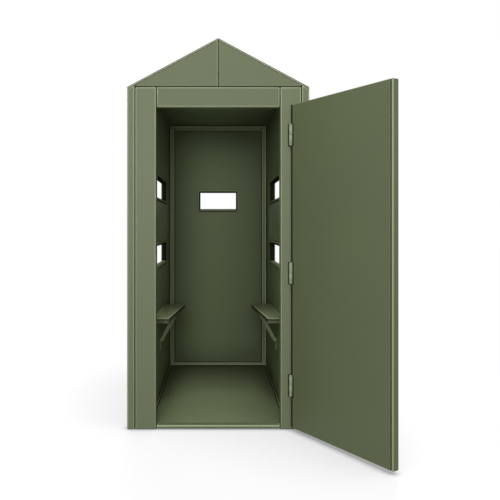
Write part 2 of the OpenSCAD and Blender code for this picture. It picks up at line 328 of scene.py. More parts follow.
# %% Recipe for the black rubber
def black_rubber(name):
    """Dull black with a fine grain and a slight chalky bloom."""
    material = new_material(name)
    tree = material.node_tree
    where = add_node(tree, "ShaderNodeTexCoord").outputs["Object"]
    tone = mixed(tree, noise(tree, where, 18.0, 3.0), srgb(20, 21, 16), srgb(34, 36, 29))
    grain = bumped(tree, noise(tree, where, 500.0, 2.0), 0.3, 0.3 * mm)
    shader = add_node(tree, "ShaderNodeBsdfPrincipled", {"Base Color": tone, "Roughness": 0.75,
                                                         "Normal": grain, "Specular IOR Level": 0.25})
    add_node(tree, "ShaderNodeOutputMaterial", {0: shader.outputs[0]})
    return material

# %% Mix the paints
# One olive paint, with tones fitted to each part's look under these lamps, so part of their difference is
# painted light: the room's walls and inside are lighter than the frame, the door darker, and the hinges, and
# the tacks that share their paint, lighter still.
finishes = {
    "frame_paint": dict(colour=srgb(101, 110, 82)),
    "roof_paint": dict(colour=srgb(100, 109, 82), highlight_gain=0.85),
    "wall_paint": dict(colour=srgb(126, 138, 104), shine=0.06),
    "inside_paint": dict(colour=srgb(133, 144, 108), streaks=0.25, highlight_gain=0.95, shine=0.06),
    "slot_frame_paint": dict(colour=srgb(114, 126, 90), roughness=0.8, shine=0.0),
    "door_paint": dict(colour=srgb(89, 98, 69), highlight_gain=0.45),
    "hinge_paint": dict(colour=srgb(140, 150, 126), roughness=0.36),
}
paints = {name: olive_paint(name, **finish) for name, finish in finishes.items()}
paints["seal_rubber"] = black_rubber("seal_rubber")
print("paints:", sorted(paints))

# %% [markdown]
# ## Folded edges and seams
# CAD pieces have knife-sharp edges, and folded sheet never does: a bend has a radius of a few
# millimetres, and that narrow strip is what shines. Each CAD piece is copied, its doubled points are
# merged, its triangles become whole faces again, and the true edges are rounded. A search tree of
# every other piece then tells each new point how close its neighbour is. Where two pieces meet, the
# two rounded edges make a groove that gets the "seam" mark of painted shade, and every other one
# gets "fold", a painted highlight.

# %% Helper for neighbours
search_trees = {}
for node, shape in frame["nodes"].items():
    corners = [v.co for v in shape.data.vertices]
    search_trees[node] = BVHTree.FromPolygons(corners, [f.vertices for f in shape.data.polygons])


def gap_to_others(point, node, reach):
    """Distance from a point to the nearest piece that isn't its own, at most reach."""
    nearest = reach
    for other, tree in search_trees.items():
        if other != node:
            distance = tree.find_nearest(point, nearest)[3]
            nearest = nearest if distance is None else min(nearest, distance)
    return nearest


print("search trees:", len(search_trees))

# %% Helpers for rounded edges
seam_from, seam_full = 0.35, 0.6


def mark_strips(strips, node, radius, fold, seam):
    """Marks the points inside the rounded strips. Those on a strip's border keep 0."""
    strip_faces = set(strips)
    for vert in {v for face in strips for v in face.verts}:
        if all(face in strip_faces for face in vert.link_faces):
            # Near another piece the point is painted as shade in the joint, elsewhere as a highlight on the
            # fold.
            closeness = 1 - gap_to_others(vert.co, node, radius) / radius
            vert[seam] = min(1.0, max(0.0, (closeness - seam_from) / (seam_full - seam_from)))
            vert[fold] = 1 - vert[seam]


def sharp_edges(bm, bend):
    return [e for e in bm.edges if e.is_manifold and e.calc_face_angle(0) > math.radians(bend)]


def bevel_edges(bm, edges, radius, segments):
    made = bmesh.ops.bevel(bm, geom=edges, offset=radius, segments=segments, profile=0.5,
                           affect="EDGES", clamp_overlap=True)
    for face in made["faces"]:
        face.smooth = True
    return made["faces"]


def touches_others(edge, node):
    middle = (edge.verts[0].co + edge.verts[1].co) / 2
    return gap_to_others(middle, node, mm) < 0.5 * mm


def widen_marks(bm, strips, fold, width):
    """Lets the painted highlight of a fold run onto the wide flat faces beside it, and fade near its end."""
    strip_faces = set(strips)
    flats = [f for f in bm.faces if f not in strip_faces
             and 2 * f.calc_area() / f.calc_perimeter() > 2.2 * width]
    for vert in {v for f in flats for v in f.verts}:
        vert[fold] = 0.8
    full_width = 0.7 * width
    for step in (full_width, width - full_width):
        bmesh.ops.inset_individual(bm, faces=flats, thickness=step, use_even_offset=True)
    for vert in {v for f in flats for v in f.verts}:
        vert[fold] = 0.0


def round_edges(bm, node, radius, toe=None, segments=4, bend=30, line=None):
    """Rounds and marks every edge sharper than bend. Free edges may get a wider toe radius."""
    fold = bm.verts.layers.float.new("fold")
    seam = bm.verts.layers.float.new("seam")
    for face in bm.faces:
        face.smooth = False
    if toe:
        bevel_edges(bm, [e for e in sharp_edges(bm, bend) if touches_others(e, node)], radius, 2)
    strips = bevel_edges(bm, sharp_edges(bm, max(bend, 46) if toe else bend), toe or radius, segments)
    mark_strips(strips, node, toe or radius, fold, seam)
    if line:
        widen_marks(bm, strips, fold, line)


def whole_copy(node):
    """A CAD node's mesh with its doubled points merged and its flat faces made whole."""
    bm = bmesh.new()
    bm.from_mesh(frame["nodes"][node].data)
    bmesh.ops.remove_doubles(bm, verts=bm.verts, dist=0.01 * mm)
    bmesh.ops.dissolve_limit(bm, angle_limit=math.radians(1), verts=bm.verts, edges=bm.edges)
    return bm


print("a joint is darkest where its gap is under", round(1 - seam_full, 2), "of the bend radius")

# %% Helpers to seat a piece
def make_piece(name, bm, body, slot, stands_for=None):
    """Turns a bmesh into a finished piece with its paint and its body, and hides the CAD node it stands for.
    """
    mesh = bpy.data.meshes.new(name)
    bmesh.ops.recalc_face_normals(bm, faces=bm.faces)
    bm.to_mesh(mesh)
    bm.free()
    piece = bpy.data.objects.new(name, mesh)
    bpy.context.scene.collection.objects.link(piece)
    piece.data.materials.append(paints[slot])
    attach(piece, body)
    if stands_for:
        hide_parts(stands_for)


def seat_piece(name, bm, node):
    make_piece(name, bm, body_of[node], slot_of[node], stands_for=node)


def fold_nodes(nodes, radius, toe=None, bend=30, line=None, prepare=None, finish=None):
    """Rounds the edges of each node. prepare and finish work on the mesh before and after that."""
    for node in nodes:
        bm = whole_copy(node)
        if prepare:
            prepare(bm)
        round_edges(bm, node, radius, toe=toe, bend=bend, line=line)
        if finish:
            finish(bm)
        seat_piece(node + "_folded", bm, node)
    print("folded at", round(radius / mm, 1), "mm:", len(nodes))

# %% [markdown]
# ## Front frame, roof and body
# The front posts and the lintel are the heaviest folded sheet, so they get the widest bends. Roof
# plates and rails are lighter, and panels lighter still. Painted light then changes the marks: the
# painted highlights on the upright folds are fainter below the top, the feet get painted contact
# shade, the lintel under the roof's edge is painted a little darker as shade, and a dark line of
# painted shade runs along that edge, above a painted highlight. Each of these is a small function
# that fold_nodes calls once the edges are round.

# %% Paint light and shade on the front
# Painted contact shade at the foot, painted shade on the lintel and gable, and a painted dark line along the
# roof's edge.
contact_shade_height = 6.5 * mm
joint_shade = 0.25
top_band = 12 * mm
roof_edge_depth = 2.9 * mm
roof_shade_line = 4.5 * mm


def dim_lower_highlights(bm):
    """Painted highlights on the folds, fainter everywhere below the top edge."""
    fold = bm.verts.layers.float["fold"]
    top = max(v.co.z for v in bm.verts)
    for vert in bm.verts:
        vert[fold] *= 0.6 if vert.co.z < top - top_band else 0.95


def paint_frame_light(bm):
    """Fainter painted highlights below the top edge, and painted contact shade at the foot."""
    dim_lower_highlights(bm)
    fold, seam = bm.verts.layers.float["fold"], bm.verts.layers.float["seam"]
    foot = min(v.co.z for v in bm.verts)
    for vert in bm.verts:
        if vert.co.z < foot + contact_shade_height:
            vert[fold], vert[seam] = 0.0, 0.85


def shade_whole(bm, shade):
    corner = bm.verts.layers.float.new("corner")
    for vert in bm.verts:
        vert[corner] = shade


def paint_lintel_light(bm):
    """Fainter painted highlights below the top edge, and painted shade all over."""
    dim_lower_highlights(bm)
    shade_whole(bm, joint_shade)


def paint_roof_edge_light(bm):
    """The front edge of a roof plate gets a painted highlight below, with a dark line of painted shade along
    its top.
    """
    fold, seam = bm.verts.layers.float["fold"], bm.verts.layers.float["seam"]
    uphill = max(bm.faces, key=lambda f: f.calc_area() * (f.normal.z > 0.3)).normal
    top = max(v.co.dot(uphill) for v in bm.verts)
    front = min(v.co.y for v in bm.verts)
    for vert in bm.verts:
        if vert.co.y < front + roof_edge_depth:
            upper = vert.co.dot(uphill) > top - roof_shade_line
            vert[fold], vert[seam] = (0.0, 0.8) if upper else (0.9, 0.0)


print("dirt at the foot:", round(contact_shade_height / mm, 1), "mm")

# %% Fold the shell
# The line width widens each fold's painted highlight onto the faces beside it.
fold_nodes(("left_post", "right_post", "front_left_tube", "front_right_tube"), 7 * mm, line=2 * mm,
           finish=paint_frame_light)
fold_nodes(("lintel",), 7 * mm, line=2 * mm, finish=paint_lintel_light)
fold_nodes(("threshold",), 4 * mm, line=5 * mm, finish=paint_frame_light)
fold_nodes(("rear_left_gable", "rear_right_gable", "rear_left_tube", "rear_right_tube",
            "left_base_rail", "right_base_rail", "rear_base_rail", "left_eaves_rail",
            "right_eaves_rail", "rear_eaves_rail"), 4 * mm)
fold_nodes(("left_roof_plate", "right_roof_plate"), 3 * mm, bend=20, finish=paint_roof_edge_light)

# %% [markdown]
# ## Panels
# Shade is painted into the paint along the corners of the room, and under the shelves. Each panel is
# cut into a grid, and its points get a "corner" mark of painted shade that rises towards the room's
# corners. The right side is painted darker, so its shade reaches further, and the shade along the
# floor is short.

# %% Measure the room
room_low = Vector((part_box("left_wall")[1].x, cad_low.y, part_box("floor_plate")[1].z))
room_high = Vector((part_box("right_wall")[0].x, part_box("back_wall")[0].y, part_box("ceiling_panel")[0].z))
shelf_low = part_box("left_shelf")[0]
print("room:", [round(v, 3) for v in (room_high.x - room_low.x, room_high.z - room_low.z)], "m")

# %% Mark and fold the panels
grid_pitch = 65 * mm
corner_reach = 0.26
right_stretch = 0.55
floor_squeeze = 1.15
side_wall_floor_squeeze = 2.0
shelf_shade = 0.9
shelf_shade_reach = 0.3


def corner_shade(point):
    """0 out in a panel to 1 in a corner. The nearest side is the panel itself, so it's left out."""
    to_left, to_right = point.x - room_low.x, room_high.x - point.x
    on_side_wall = min(to_left, to_right) < 20 * mm
    squeeze = side_wall_floor_squeeze if on_side_wall else floor_squeeze
    gaps = (to_left, right_stretch * to_right, room_high.y - point.y,
            squeeze * (point.z - room_low.z), room_high.z - point.z)
    if min(gaps) < -5 * mm:
        return 0.0
    shades = sorted(max(0.0, 1 - gap / corner_reach) ** 1.5 for gap in gaps)
    shade = sum(shades[:-1])
    below = shelf_low.z - point.z
    # Painted shadow under the shelves.
    if on_side_wall and 0 < below < shelf_shade_reach and shelf_low.y < point.y:
        shade += shelf_shade * (1 - below / shelf_shade_reach)
    return min(1.0, shade)


def grid_and_shade(bm):
    corner = bm.verts.layers.float.new("corner")
    for axis in range(3):
        low = min(v.co[axis] for v in bm.verts)
        high = max(v.co[axis] for v in bm.verts)
        cuts = int((high - low) / grid_pitch)
        for i in range(1, cuts):
            place, across = Vector((0, 0, 0)), Vector((0, 0, 0))
            place[axis] = low + (high - low) * i / cuts
            across[axis] = 1
            everything = bm.verts[:] + bm.edges[:] + bm.faces[:]
            bmesh.ops.bisect_plane(bm, geom=everything, plane_co=place, plane_no=across)
    for vert in bm.verts:
        vert[corner] = corner_shade(vert.co)


fold_nodes(("left_wall", "right_wall", "back_wall", "floor_plate", "ceiling_panel"), 2 * mm,
           finish=grid_and_shade)

# %% [markdown]
# ## Inside angles
# Thin rolled angles cover the corners of the room. The edge that lies on a panel stays nearly sharp,
# and the free one, the toe, is rounded wider and painted pale as a highlight. The angles along the
# floor and the ceiling run round three sides, so their faces are U-shaped. A line can't be drawn
# evenly inside a U, so those faces are first parted near the rear corners.

# %% Fold the angles
trim_bend = 0.4 * mm
trim_toe = 3.5 * mm
trim_line = 6.5 * mm


def part_at_rear_toe(bm):
    """Parts the U-shaped faces just behind the rear leg's toe, so the legs are faces of their own."""
    cut_y = sorted({round(v.co.y, 5) for v in bm.verts})[-3] + 4 * mm
    everything = bm.verts[:] + bm.edges[:] + bm.faces[:]
    bmesh.ops.bisect_plane(bm, geom=everything, plane_co=(0, cut_y, 0), plane_no=(0, 1, 0))


fold_nodes(("corner_trims",), trim_bend, toe=trim_toe, line=trim_line)
fold_nodes(("ceiling_trim", "floor_trim"), trim_bend, toe=trim_toe, line=trim_line,
           prepare=part_at_rear_toe)

# %% [markdown]
# ## Slot frames
# A pressed frame lines each viewing slot: a rolled bead with a painted highlight, a recess inside it
# painted dark as shade, and a sleeve through the wall. Its section is the same all the way round, so
# one list of points is swept round the slot. It is done point by point and not with a curve's bevel,
# because the corners are mitred and each point carries its own mark.

# %% Helpers to move an outline in
def corner_offset(before, here, after, inset):
    """Where a corner of a counter-clockwise outline goes when its two sides move in."""
    side_in = (here - before).normalized()
    side_out = (after - here).normalized()
    left_in = Vector((-side_in.y, side_in.x))
    left_out = Vector((-side_out.y, side_out.x))
    return here + (left_in + left_out) * inset / (1 + left_in.dot(left_out))


def inset_outline(outline, inset):
    after = outline[1:] + outline[:1]
    return [corner_offset(outline[i - 1], outline[i], after[i], inset) for i in range(len(outline))]

# %% Helpers for slot frames
rim_thickness = 6 * mm
sill_ends = 27 * mm


def wall_axes(low, high):
    """The horizontal axis through a slot frame's wall, and the one along it."""
    return (0, 1) if high.x - low.x < high.y - low.y else (1, 0)


def rim_profile(depth, rim_width=24 * mm, bead=11 * mm, roll=3 * mm, recess=4.2 * mm, sleeve=5 * mm):
    """(inset, depth, fold, seam) points of a frame's section: bead with a painted highlight, recess and
    reveal painted dark as shade, and back.
    """
    bent = 0.3 * roll
    face = [(0, rim_thickness, 0, 1), (0, roll, 0.2, 0), (bent, bent, 0.8, 0), (roll, 0, 1, 0),
            (bead - roll, 0, 0.8, 0), (bead - bent, bent, 0.3, 0), (bead, roll, 0, 0.3),
            (bead + mm, recess, 0, 0.6), (bead + 3 * mm, recess, 0, 0.8),
            (rim_width - 3 * mm, recess, 0, 0.95), (rim_width - bent, recess + 0.7 * mm, 0, 0.95),
            (rim_width, recess + 2.8 * mm, 0, 0.95)]
    other_face = [(inset, depth - t, fold, seam) for inset, t, fold, seam in reversed(face)]
    hole = [(rim_width - sleeve, depth - rim_thickness, 0, 1), (rim_width - sleeve, rim_thickness, 0, 1)]
    return face + other_face + hole


def slot_frame(node):
    """The section swept round the slot. On the sill the bead is painted dark as shade and the recess painted
    pale as a highlight.
    """
    low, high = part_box(node)
    thin, wide = wall_axes(low, high)
    outline = [Vector(c) for c in ((low[wide], low.z), (low[wide] + sill_ends, low.z),
                                   (high[wide] - sill_ends, low.z), (high[wide], low.z),
                                   (high[wide], high.z), (low[wide], high.z))]
    sill = (1, 2)
    bm = bmesh.new()
    fold = bm.verts.layers.float.new("fold")
    seam = bm.verts.layers.float.new("seam")
    rings = []
    for inset, depth, fold_mark, seam_mark in rim_profile(high[thin] - low[thin]):
        ring = []
        for i, corner in enumerate(inset_outline(outline, inset)):
            point = Vector((0, 0, corner.y))
            point[thin] = low[thin] + depth
            point[wide] = corner.x
            vert = bm.verts.new(point)
            vert[fold], vert[seam] = fold_mark, seam_mark
            if i in sill:
                vert[fold], vert[seam] = (0.7, 0.0) if inset > 10 * mm else (0.0, 0.45)
            ring.append(vert)
        rings.append(ring)
    count = len(outline)
    for here, after in zip(rings, rings[1:] + rings[:1]):
        for i in range(count):
            j = (i + 1) % count
            face = bm.faces.new((here[i], here[j], after[j], after[i]))
            face.smooth = (here[i].co - after[i].co).length < 4 * mm
    seat_piece(node + "_pressed", bm, node)

# %% Press the slot frames
slot_frames = [node for node in frame["nodes"] if node.endswith("slot_frame")]
for node in slot_frames:
    slot_frame(node)
print("slot frames:", len(slot_frames))

# %% [markdown]
# ## Stacked outlines
# The shelves and the door are folded trays: the same outline at several heights, drawn in a little
# where an edge rounds over or a hem steps back. Stacking the outline as rings and skinning them
# gives a closed shell whose every radius is a value in a list.

# %% Helpers for outlines
def rounded_corners(outline, radii, steps=4):
    """Turns each corner of a convex outline into an arc. Also gives each point's fold mark."""
    points, marks = [], []
    after = outline[1:] + outline[:1]
    for i, radius in enumerate(radii):
        centre = corner_offset(outline[i - 1], outline[i], after[i], radius)
        side_in = outline[i] - outline[i - 1]
        turn = -side_in.angle_signed(after[i] - outline[i])
        start = math.atan2(-side_in.x, side_in.y)
        for k in range(steps + 1):
            angle = start + turn * k / steps
            points.append(centre + Vector((math.cos(angle), math.sin(angle))) * radius)
            marks.append(math.sin(math.pi * k / steps))
    return points, marks


def plan_outline(node):
    """The corners of an upright CAD piece seen from above, counter-clockwise."""
    corners = {(round(v.co.x, 5), round(v.co.y, 5)) for v in frame["nodes"][node].data.vertices}
    middle = sum((Vector(c) for c in corners), Vector((0, 0))) / len(corners)
    return sorted((Vector(c) for c in corners), key=lambda c: math.atan2(*(c - middle).yx))


print("left shelf corners:", [tuple(round(x, 3) for x in c) for c in plan_outline("left_shelf")])

# %% Helpers for stacked outlines
def rounded_levels(low, high, radius, foot_round_shade=0.0, side_shade=0.0, line=0.0, steps=4):
    """Levels (height, inset, fold, seam) of a slab whose lower and upper edges round over."""
    # Painted shade on the sides and in the lower round, and a painted highlight on the upper round, widened
    # by line.
    line_gain = 1.6
    turns = [math.radians(90 * i / steps) for i in range(steps + 1)]
    foot, head = [], []
    for turn in turns:
        rise, inset = radius * (1 - math.sin(turn)), radius * (1 - math.cos(turn))
        seam = max(side_shade, foot_round_shade * inset / radius)
        fold = min(1.0, line_gain * math.sin(turn)) if line else math.sin(2 * turn)
        foot.append((low + rise, inset, math.sin(2 * turn) * (1 - seam), seam))
        head.append((high - rise, inset, fold, side_shade * (1 - fold)))
    if line:
        head.append((high, radius + line, 0.0, 0.0))
    return foot[::-1] + head


def stack_outline(bm, outline, marks, levels):
    """Skins one ring for each level, from the lowest up, and closes both ends."""
    fold = bm.verts.layers.float.get("fold") or bm.verts.layers.float.new("fold")
    seam = bm.verts.layers.float.get("seam") or bm.verts.layers.float.new("seam")
    rings = []
    for height, inset, level_fold, level_seam in levels:
        ring = [bm.verts.new((*p, height)) for p in inset_outline(outline, inset)]
        for vert, mark in zip(ring, marks):
            vert[fold] = max(level_fold, mark * (1 - level_seam))
            vert[seam] = level_seam
        rings.append(ring)
    count = len(outline)
    for low, high in zip(rings, rings[1:]):
        for i in range(count):
            j = (i + 1) % count
            face = bm.faces.new((low[i], low[j], high[j], high[i]))
            face.smooth = min(e.calc_length() for e in face.edges) < 4 * mm
    bm.faces.new(rings[0][::-1])
    bm.faces.new(rings[-1])

# %% [markdown]
# ## Front gable
# Two sheets close the gable and meet at a joint under the ridge. Their edges roll back into joints
# painted dark as shade, so each sheet is a stacked outline too, built lying down and then stood up.
# Its outline is nearly a triangle, with a short upright shoulder at the eaves.

# %% Helpers for gable sheets
gable_bend = 5 * mm
gable_line = 1.2 * mm
gable_line_end = gable_bend + gable_line
# How pale the painted highlight along one sheet's joint edge is.
joint_highlight = 0.8
stood_up = Matrix(((1, 0, 0, 0), (0, 0, -1, 0), (0, 1, 0, 0), (0, 0, 0, 1)))


def gable_outline(node):
    """Foot, eave, shoulder and ridge. A point near each end of the joint keeps its mark there."""
    low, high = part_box(node)
    eave = Vector((high.x if high.x > mm else low.x, low.z))
    foot, ridge = Vector((0, low.z)), Vector((0, high.z))
    points = [v.co for v in frame["nodes"][node].data.vertices]
    shoulder = Vector((eave.x, max(p.z for p in points if abs(p.x - eave.x) < 0.1 * mm)))
    outline = [foot, foot.lerp(eave, 0.02), eave, shoulder, ridge.lerp(shoulder, 0.02), ridge]
    return outline if eave.x > 0 else outline[::-1]


def gable_levels(back, front, steps=4, seam_gain=1.9):
    """Levels (height, inset, fold, seam) from the back up, round the bend painted dark as shade, and onto
    the face.
    """
    levels = [(back, 0.0, 0.0, 1.0)]
    for turn in (math.radians(90 * i / steps) for i in range(steps + 1)):
        depth, inset = gable_bend * (1 - math.sin(turn)), gable_bend * (1 - math.cos(turn))
        levels.append((front - depth, inset, 0.0, min(1.0, seam_gain * math.cos(turn) ** 2)))
    return levels + [(front, gable_line_end, 0.0, 0.0), (front, gable_line_end + 0.5 * mm, 0.0, 0.0)]

# %% Fold the gable sheets
def gable_sheet(node, highlit_joint_edge):
    """A sheet drawn lying down, face up, then stood upright, and painted a little darker as shade all over.
    One of the two has a painted highlight along its joint edge.
    """
    low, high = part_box(node)
    back, front = -high.y, -low.y
    marks = [0.0] * 6
    if highlit_joint_edge:
        marks[0] = marks[-1] = joint_highlight
    bm = bmesh.new()
    stack_outline(bm, gable_outline(node), marks, gable_levels(back, front))
    fold = bm.verts.layers.float["fold"]
    for vert in bm.verts:
        if vert.co.z > front - 0.1 * mm and abs(vert.co.x) > gable_line_end + 0.2 * mm:
            vert[fold] = 0.0
    # Painted shade all over the sheet.
    shade_whole(bm, joint_shade)
    bm.transform(stood_up)
    seat_piece(node + "_sheet", bm, node)
    print(node, [round(v / mm) for v in high - low], "mm")


gable_sheet("front_left_gable", highlit_joint_edge=True)
gable_sheet("front_right_gable", highlit_joint_edge=False)

# %% [markdown]
# ## Shelves
# Each shelf is a folded tray whose lip ends in a hem: the sheet is turned back on itself, which
# leaves a narrow band along the lower edge, set back by one sheet. The band and the groove above it
# are two stacks of the same outline.

# %% Fold the shelves
hem_height = 11 * mm
hem_setback = 1.5 * mm
for node in ("left_shelf", "right_shelf"):
    low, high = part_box(node)
    outline, marks = rounded_corners(plan_outline(node), [5 * mm] * 4)
    hem_top = low.z + hem_height
    # The hem's and the lip's sides and the groove above the hem are painted dark as shade, and the lip's top
    # edge gets a painted highlight line.
    hem = [(z, inset + hem_setback, fold, seam)
           for z, inset, fold, seam in rounded_levels(low.z, hem_top, 1.5 * mm, side_shade=0.55)]
    lip = rounded_levels(hem_top, high.z, 3 * mm, foot_round_shade=1.0, side_shade=0.78, line=6 * mm)
    bm = bmesh.new()
    stack_outline(bm, outline, marks, hem + lip)
    seat_piece(node + "_tray", bm, node)
print("shelf lip", round((high.z - low.z) / mm), "mm with a hem of", round(hem_height / mm), "mm")

# %% [markdown]
# ## Struts
# A strut is a short length of angle bar, cut at both ends and welded to a foot plate. Its profile
# corners are read from the CAD piece: two under the shelf, and four down the face of the plate.

# %% Helpers for prisms
def upright_rectangle(left, right, bottom, top):
    return [(left, bottom), (right, bottom), (right, top), (left, top)]


def add_prism(bm, profile, y_low, y_high):
    """A closed prism: a profile of (x, z) corners that runs from y_low to y_high."""
    near = [bm.verts.new((x, y_low, z)) for x, z in profile]
    far = [bm.verts.new((x, y_high, z)) for x, z in profile]
    count = len(profile)
    for i in range(count):
        j = (i + 1) % count
        bm.faces.new((near[i], near[j], far[j], far[i]))
    bm.faces.new(near[::-1])
    bm.faces.new(far)


def square_end(outer_top, outer_foot, inner_top, inner_foot):
    """Ends a bar's two edges with a square cut, where the first of them reaches the plate."""
    way = (outer_foot - outer_top).normalized()
    reach = min((foot - outer_top).dot(way) for foot in (outer_foot, inner_foot))
    return outer_top + way * reach, inner_top + way * (reach - (inner_top - outer_top).dot(way))


def shelf_strut(node, sheet=4 * mm):
    low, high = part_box(node)
    side = 1 if low.x > 0 else -1
    wall_x = max(abs(low.x), abs(high.x))
    corners = {(round(abs(v.co.x), 5), round(v.co.z, 5)) for v in frame["nodes"][node].data.vertices}
    plate_x = sorted({x for x, z in corners})[-2]
    head = sorted(x for x, z in corners if z > high.z - mm)
    down = sorted(z for x, z in corners if abs(x - plate_x) < 0.1 * mm)
    outer_top, inner_top = Vector((head[0], high.z)), Vector((head[1], high.z))
    outer_foot, inner_foot = Vector((plate_x, down[1])), Vector((plate_x, down[2]))
    outer_foot, inner_foot = square_end(outer_top, outer_foot, inner_top, inner_foot)
    share = sheet / (head[1] - head[0])
    web = [outer_top, outer_foot, inner_foot, inner_top]
    flange = [outer_top, outer_foot, outer_foot.lerp(inner_foot, share), outer_top.lerp(inner_top, share)]
    plate = upright_rectangle(plate_x, wall_x, down[0], down[3])
    bm = bmesh.new()
    spans = ((web, low.y, low.y + sheet), (flange, low.y, high.y), (plate, low.y, high.y))
    for profile, y_low, y_high in spans:
        add_prism(bm, [(side * x, z) for x, z in profile], y_low, y_high)
    bmesh.ops.recalc_face_normals(bm, faces=bm.faces)
    # The bar's edges get painted highlights, widened onto its faces.
    round_edges(bm, node, 1.2 * mm, segments=3, line=3 * mm)
    seat_piece(node + "_bar", bm, node)

# %% Cut the struts
for node in ("left_strut", "right_strut"):
    shelf_strut(node)

# %% [markdown]
# ## The door's own frame of reference
# The door stands open, turned about its hinges, and its parts are easiest to draw while it is shut.
# The joint in the record gives the axis and how far it is open, so every door piece is drawn shut,
# with the hinge axis at X 0 and Y 0, and turned into place as the last step.

# %% Read the hinge axis
hinge = record["behaviour"]["joints"][0]
hinge_place = Vector((hinge["pos_m"][0], hinge["pos_m"][1], 0))
open_angle = -hinge["range_deg"][0]
opened = Matrix.Translation(hinge_place) @ Matrix.Rotation(math.radians(open_angle), 4, "Z")
shut = opened.inverted()


def shut_box(node):
    """Lowest and highest corners of a door piece in the shut frame."""
    corners = [shut @ v.co for v in frame["nodes"][node].data.vertices]
    low = Vector([min(c[i] for c in corners) for i in range(3)])
    high = Vector([max(c[i] for c in corners) for i in range(3)])
    return low, high


def plan_rectangle(low, high):
    return [Vector(c) for c in ((low.x, low.y), (high.x, low.y), (high.x, high.y), (low.x, high.y))]


print("door is open", open_angle, "degrees")

# %% [markdown]
# ## Door leaf
# The leaf is a flat box of sheet. A channel with a generous bend closes its free edge, and the faces
# stop just short of it, which leaves a groove down each side. Three closed shells make this: the
# faces, the channel, and a core painted dark as shade that shows only at the bottom of the groove.

# %% Fold the leaf's faces and channel
leaf_low, leaf_high = shut_box("door_leaf")
channel_width = 10 * mm
channel_bend = 8.5 * mm
groove_width = 8 * mm
channel_end = leaf_low.x + channel_width
bm = bmesh.new()
levels = rounded_levels(leaf_low.z, leaf_high.z, 3 * mm)

faces_low = Vector((channel_end + groove_width, leaf_low.y, 0))
outline, marks = rounded_corners(plan_rectangle(faces_low, leaf_high), [1 * mm, 4 * mm, 4 * mm, 1 * mm])
stack_outline(bm, outline, marks, levels)

channel_high = Vector((channel_end, leaf_high.y, 0))
bends = [channel_bend, 1 * mm, 1 * mm, channel_bend]
outline, marks = rounded_corners(plan_rectangle(leaf_low, channel_high), bends, steps=8)
stack_outline(bm, outline, marks, levels)
print("leaf:", [round(v / mm) for v in leaf_high - leaf_low], "mm")

# %% Add the core and hang the leaf
groove_depth = 3 * mm
inwards = Vector((1, 1, 1)) * groove_depth
core_low = leaf_low + inwards + Vector((1, 0, 0)) * groove_depth
core_high = leaf_high - inwards
# The core is painted wholly dark as shade.
groove_shade_levels = [(core_low.z, 0.0, 0.0, 1.0), (core_high.z, 0.0, 0.0, 1.0)]
stack_outline(bm, plan_rectangle(core_low, core_high), [0.0] * 4, groove_shade_levels)
bm.transform(opened)
seat_piece("door_leaf_tray", bm, "door_leaf")
# The door seal is black rubber, and along the hinge side its black also stands in for the shade in the gap.
fold_nodes(("door_seal",), 1.5 * mm)

# %% [markdown]
# ## Hinges
# A weld-on hinge is two turned barrels, one above the other, on a pin. Turned parts come from a
# lathe, so the mesh does too: a profile of (radius, height) points is spun round the axis. A shallow
# ring near each outer end and a chamfer where the halves meet are what catches the eye. A thin black
# pad behind each half stands in for the shade round the barrels.

# %% Helpers for turned parts
def turn_profile(bm, profile, centre, segments=32):
    """Spins a profile that starts and ends on the axis, from the lowest point up."""
    turns = [2 * math.pi * i / segments for i in range(segments)]
    ways = [Vector((math.cos(turn), math.sin(turn))) for turn in turns]
    rings = []
    for radius, height in profile:
        if radius == 0:
            rings.append([bm.verts.new((*centre, height))] * segments)
        else:
            rings.append([bm.verts.new((*(centre + way * radius), height)) for way in ways])
    for low, high in zip(rings, rings[1:]):
        for i in range(segments):
            j = (i + 1) % segments
            corners = list(dict.fromkeys((low[i], low[j], high[j], high[i])))
            bm.faces.new(corners).smooth = True


def barrel_end(radius, tip, inwards):
    """A rounded outer end with a shallow ring, from the tip in. inwards is 1 up or -1 down."""
    steps = ((-2.5, 0), (-0.8, 0.7), (0, 2.5), (0, 8), (-0.9, 8.9), (-0.9, 9.9), (0, 10.8))
    return [(radius + out * mm, tip + inwards * along * mm) for out, along in steps]

# %% Helpers for hinge halves
chamfer = 1.2 * mm
lug_reach = 8 * mm
half_lug = 4 * mm
pin_radius = 5 * mm
bore_radius = 5.08 * mm
bore_cap = 8 * mm


def hinge_seat(node, barrel_top):
    """Lower half: a barrel with the pin standing in it, on a lug that reaches the post."""
    low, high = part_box(node)
    centre = hinge_place.xy
    radius = centre.y - low.y
    profile = [(0, low.z)] + barrel_end(radius, low.z, 1)
    profile += [(radius, barrel_top - chamfer), (radius - chamfer, barrel_top), (pin_radius, barrel_top)]
    profile += [(pin_radius, high.z - mm), (pin_radius - mm, high.z), (0, high.z)]
    bm = bmesh.new()
    lug = upright_rectangle(centre.x - lug_reach, centre.x, low.z + mm, barrel_top - mm)
    add_prism(bm, lug, centre.y, high.y)
    bmesh.ops.recalc_face_normals(bm, faces=bm.faces)
    turn_profile(bm, profile, centre)
    seat_piece(node + "_turned", bm, node)


def hinge_knuckle(node):
    """Upper half: a barrel with a blind bore, on a lug that reaches the leaf's edge."""
    low, high = shut_box(node)
    radius = high.x
    bore_top = high.z - bore_cap
    profile = [(0, bore_top), (bore_radius, bore_top), (bore_radius, low.z)]
    profile += [(radius - chamfer, low.z), (radius, low.z + chamfer)]
    profile += barrel_end(radius, high.z, -1)[::-1] + [(0, high.z)]
    bm = bmesh.new()
    lug = upright_rectangle(low.x, -radius + 2 * mm, low.z + mm, high.z - mm)
    add_prism(bm, lug, -half_lug, half_lug)
    bmesh.ops.recalc_face_normals(bm, faces=bm.faces)
    turn_profile(bm, profile, Vector((0, 0)))
    bm.transform(opened)
    seat_piece(node + "_turned", bm, node)

